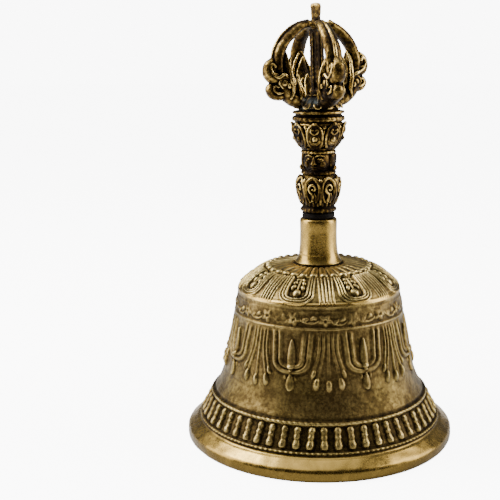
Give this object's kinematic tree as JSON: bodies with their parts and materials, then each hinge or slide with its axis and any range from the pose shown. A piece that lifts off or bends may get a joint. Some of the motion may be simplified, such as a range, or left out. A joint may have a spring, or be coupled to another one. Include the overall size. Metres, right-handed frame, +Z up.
{
  "type": "hand bell",
  "caption": "Cast brass ritual hand bell: a flared bell with a domed shoulder, a slender stacked handle with a crowned head and a cage of curved prongs on top, and a free hanging clapper.",
  "frame": {"origin": "centre of the rim's resting face, on the bell's axis", "axes": "+Z up the bell's axis to the tip of the handle; the head on the handle looks along -Y; +X to the right of someone who faces the head"},
  "size_m": [0.095, 0.095, 0.152],
  "materials": {
    "bell_bronze": "cast, aged olive brown with dark recesses and rubbed high spots",
    "handle_brass": "cast, golden where rubbed by the hand, near black in the recesses",
    "lac": "black resin, dull",
    "iron": "forged, dark brown",
    "bob_bronze": "cast, worn by striking"
  },
  "bodies": {
    "bell": {"bell_shell": "bell_bronze", "lac_seal": "lac", "lotus_vase": "handle_brass", "head": "handle_brass", "crown": "handle_brass", "beaded_collar": "handle_brass", "prong_hub": "handle_brass", "prong_front_left": "handle_brass", "prong_front_right": "handle_brass", "prong_back_left": "handle_brass", "prong_back_right": "handle_brass", "central_prong": "handle_brass", "eye_rod": "iron", "crown_washer": "iron", "crown_nut": "iron"},
    "link": {"clapper_link": "iron"},
    "clapper": {"clapper_shank": "iron", "clapper_bob": "bob_bronze"}
  },
  "joints": [
    {"name": "link_swing", "type": "hinge", "parent": "bell", "child": "link", "pos_m": [0, 0, 0.0484], "axis": [0, 1, 0], "range_deg": [-39, 39]},
    {"name": "clapper_swing", "type": "hinge", "parent": "link", "child": "clapper", "pos_m": [0, 0, 0.0376], "axis": [1, 0, 0], "range_deg": [-9, 9]}
  ]
}
